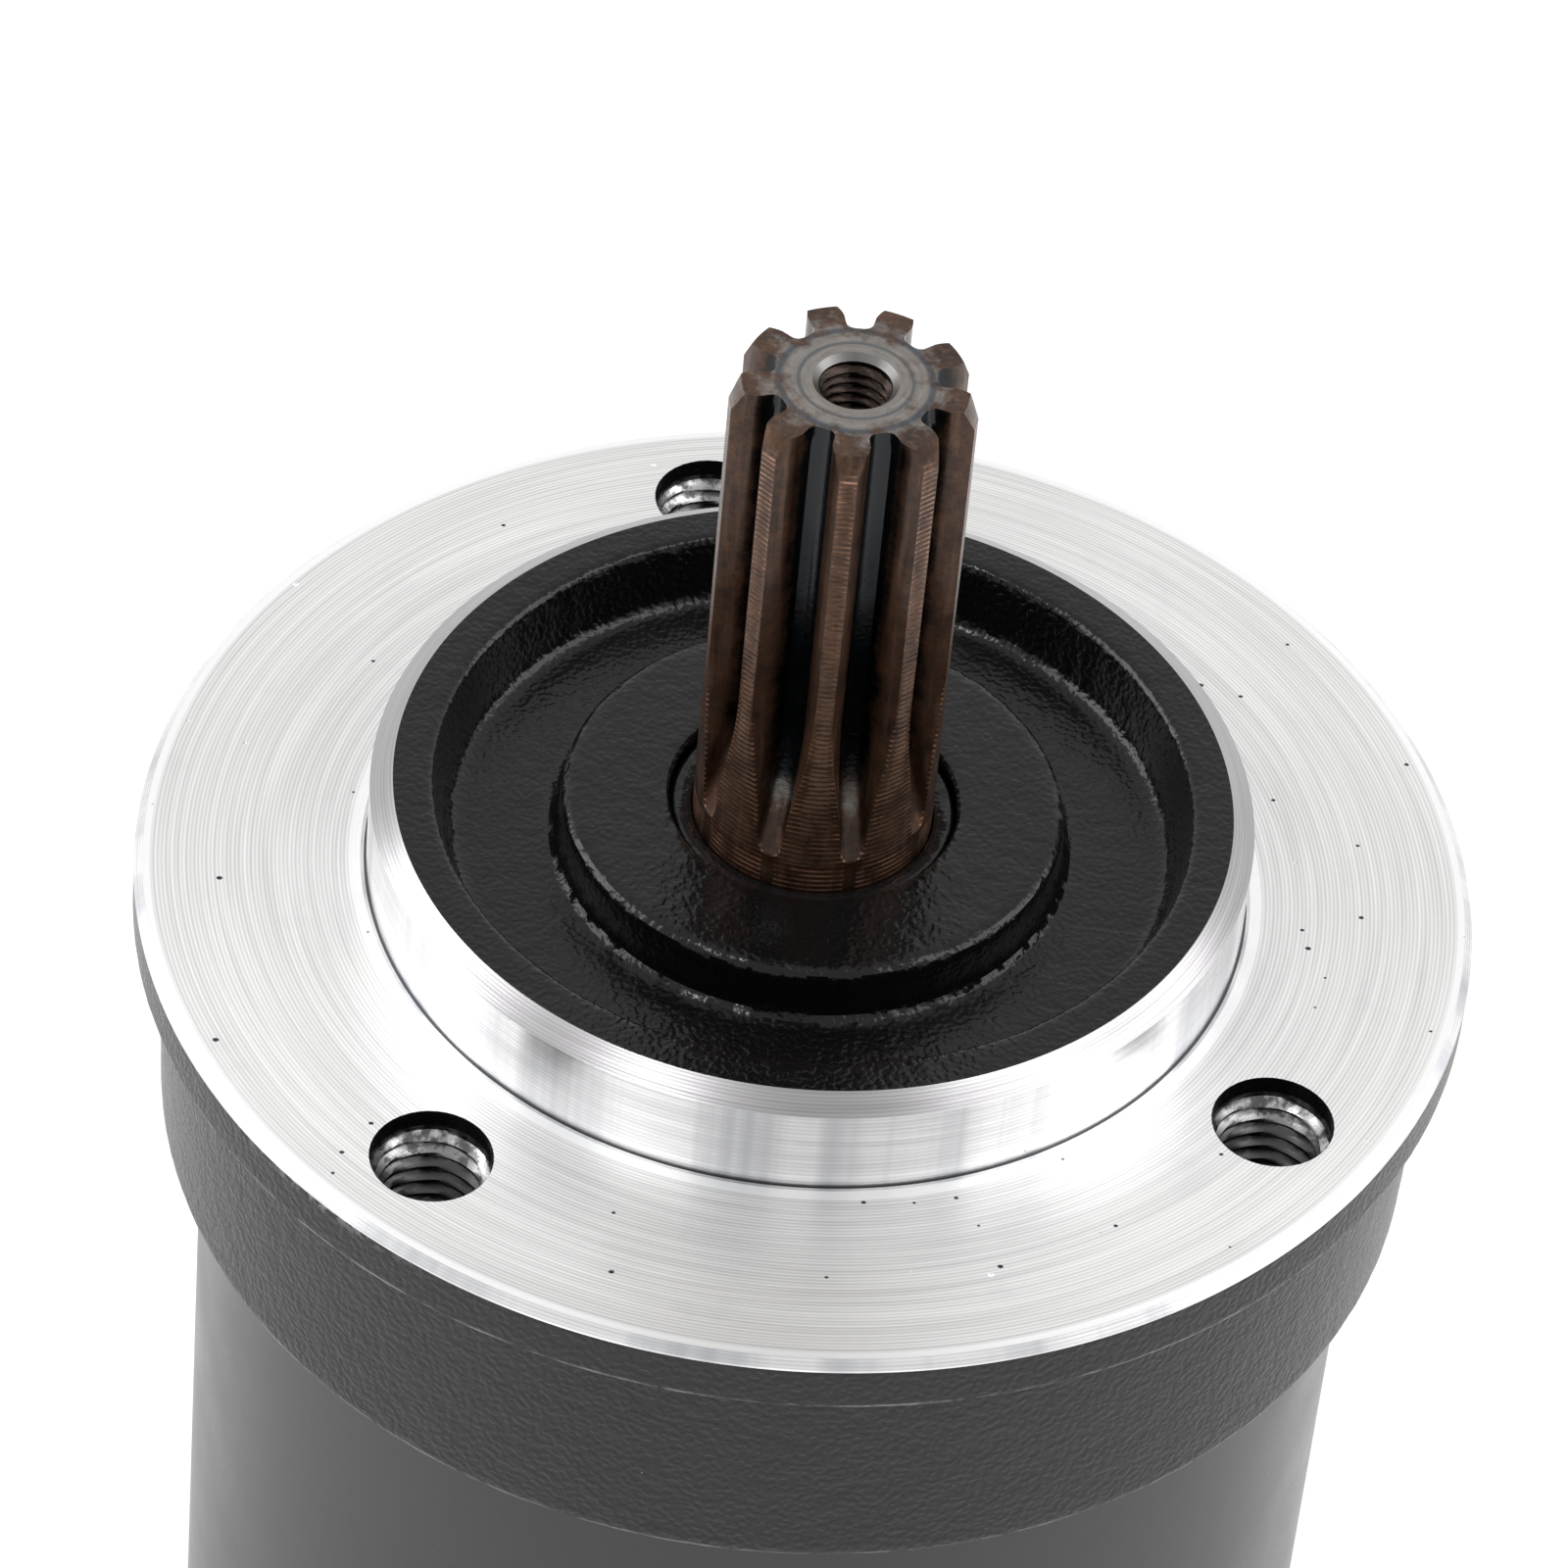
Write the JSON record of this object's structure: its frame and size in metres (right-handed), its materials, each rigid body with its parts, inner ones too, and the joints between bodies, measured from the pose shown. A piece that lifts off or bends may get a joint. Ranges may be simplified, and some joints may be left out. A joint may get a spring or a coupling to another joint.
{
  "type": "planetary gearbox",
  "caption": "Round in-line two-stage planetary gearbox: toothed output pinion, spigot and tapped flange in front, motor adapter with clamp hub behind",
  "frame": {"origin": "on the shaft's axis, at the machined face of the mounting flange, where the spigot starts", "axes": "+Z along the shaft, out of the pinion end; X and Y across the flange"},
  "size_m": [0.09, 0.09, 0.176],
  "materials": {
    "cast_paint": "cast aluminium, dark textured paint, machined face bright",
    "tube_paint": "semi-gloss dark grey paint",
    "adapter_paint": "dark satin paint on turned aluminium",
    "phosphated_steel": "brown phosphated cut steel",
    "gear_steel": "ground case-hardened steel",
    "bearing_steel": "polished bearing steel",
    "black_steel": "black oxide steel",
    "spring_steel": "oiled spring steel",
    "bronze": "sintered bronze",
    "nylon": "natural nylon",
    "seal_rubber": "nitrile rubber, oiled"
  },
  "bodies": {
    "housing": {"front_housing": "cast_paint", "ring_gear_tube": "tube_paint", "motor_adapter": "adapter_paint", "adapter_screws": "black_steel", "access_plug": "black_steel", "front_o_ring": "seal_rubber", "adapter_o_ring": "seal_rubber", "output_seal": "seal_rubber", "output_seal_spring": "bearing_steel", "input_seal": "seal_rubber", "front_bearing_outer": "bearing_steel", "rear_bearing_outer": "bearing_steel", "input_bearing_outer": "bearing_steel", "rear_bearing_circlip": "spring_steel", "input_bearing_circlip": "spring_steel"},
    "output": {"output_shaft": "phosphated_steel", "output_carrier": "gear_steel", "output_carrier_plate": "gear_steel", "carrier_screws": "black_steel", "output_planet_pins": "bearing_steel", "output_thrust_washers": "bronze", "output_thrust_pad": "nylon", "front_bearing_inner": "bearing_steel", "rear_bearing_inner": "bearing_steel", "bearing_spacer": "gear_steel", "shaft_circlip": "spring_steel"},
    "middle": {"output_sun": "gear_steel", "input_carrier": "gear_steel", "input_planet_pins": "bearing_steel", "input_thrust_washers": "bronze", "input_pin_clips": "spring_steel"},
    "input": {"input_shaft": "gear_steel", "clamp_collar": "black_steel", "clamp_screw": "black_steel", "input_bearing_inner": "bearing_steel", "input_shaft_circlip": "spring_steel"},
    "front_balls": {"front_bearing_balls": "bearing_steel", "front_bearing_cage": "nylon"},
    "rear_balls": {"rear_bearing_balls": "bearing_steel", "rear_bearing_cage": "nylon"},
    "input_balls": {"input_bearing_balls": "bearing_steel", "input_bearing_cage": "nylon"},
    "output_planet_set_1": {"output_planet_1": "gear_steel", "output_bush_1": "bronze"},
    "input_planet_set_1": {"input_planet_1": "gear_steel", "input_bush_1": "bronze"},
    "output_planet_set_2": {"output_planet_2": "gear_steel", "output_bush_2": "bronze"},
    "input_planet_set_2": {"input_planet_2": "gear_steel", "input_bush_2": "bronze"},
    "output_planet_set_3": {"output_planet_3": "gear_steel", "output_bush_3": "bronze"},
    "input_planet_set_3": {"input_planet_3": "gear_steel", "input_bush_3": "bronze"}
  },
  "joints": [
    {"name": "output_spin", "type": "hinge", "parent": "housing", "child": "output", "pos_m": [0, 0, -0.02], "axis": [0, 0, 1], "continuous": true},
    {"name": "middle_spin", "type": "hinge", "parent": "housing", "child": "middle", "pos_m": [0, 0, -0.071], "axis": [0, 0, 1], "continuous": true},
    {"name": "input_spin", "type": "hinge", "parent": "housing", "child": "input", "pos_m": [0, 0, -0.097], "axis": [0, 0, 1], "continuous": true},
    {"name": "output_planet_1_spin", "type": "hinge", "parent": "output", "child": "output_planet_set_1", "pos_m": [0, 0.0225, -0.053], "axis": [0, 0, 1], "continuous": true},
    {"name": "output_planet_2_spin", "type": "hinge", "parent": "output", "child": "output_planet_set_2", "pos_m": [-0.01949, -0.01125, -0.053], "axis": [0, 0, 1], "continuous": true},
    {"name": "output_planet_3_spin", "type": "hinge", "parent": "output", "child": "output_planet_set_3", "pos_m": [0.01949, -0.01125, -0.053], "axis": [0, 0, 1], "continuous": true},
    {"name": "input_planet_1_spin", "type": "hinge", "parent": "middle", "child": "input_planet_set_1", "pos_m": [0, 0.0225, -0.08], "axis": [0, 0, 1], "continuous": true},
    {"name": "input_planet_2_spin", "type": "hinge", "parent": "middle", "child": "input_planet_set_2", "pos_m": [-0.01949, -0.01125, -0.08], "axis": [0, 0, 1], "continuous": true},
    {"name": "input_planet_3_spin", "type": "hinge", "parent": "middle", "child": "input_planet_set_3", "pos_m": [0.01949, -0.01125, -0.08], "axis": [0, 0, 1], "continuous": true},
    {"name": "front_balls_spin", "type": "hinge", "parent": "housing", "child": "front_balls", "pos_m": [0, 0, -0.01], "axis": [0, 0, 1], "continuous": true},
    {"name": "rear_balls_spin", "type": "hinge", "parent": "housing", "child": "rear_balls", "pos_m": [0, 0, -0.027], "axis": [0, 0, 1], "continuous": true},
    {"name": "input_balls_spin", "type": "hinge", "parent": "housing", "child": "input_balls", "pos_m": [0, 0, -0.0975], "axis": [0, 0, 1], "continuous": true}
  ],
  "couplings": [
    {"joint": "middle_spin", "follows": "output_spin", "ratio": 4},
    {"joint": "input_spin", "follows": "output_spin", "ratio": 16},
    {"joint": "output_planet_1_spin", "follows": "output_spin", "ratio": -3},
    {"joint": "output_planet_2_spin", "follows": "output_spin", "ratio": -3},
    {"joint": "output_planet_3_spin", "follows": "output_spin", "ratio": -3},
    {"joint": "input_planet_1_spin", "follows": "output_spin", "ratio": -12},
    {"joint": "input_planet_2_spin", "follows": "output_spin", "ratio": -12},
    {"joint": "input_planet_3_spin", "follows": "output_spin", "ratio": -12},
    {"joint": "front_balls_spin", "follows": "output_spin", "ratio": 0.3816},
    {"joint": "rear_balls_spin", "follows": "output_spin", "ratio": 0.3815},
    {"joint": "input_balls_spin", "follows": "output_spin", "ratio": 6.5889}
  ]
}
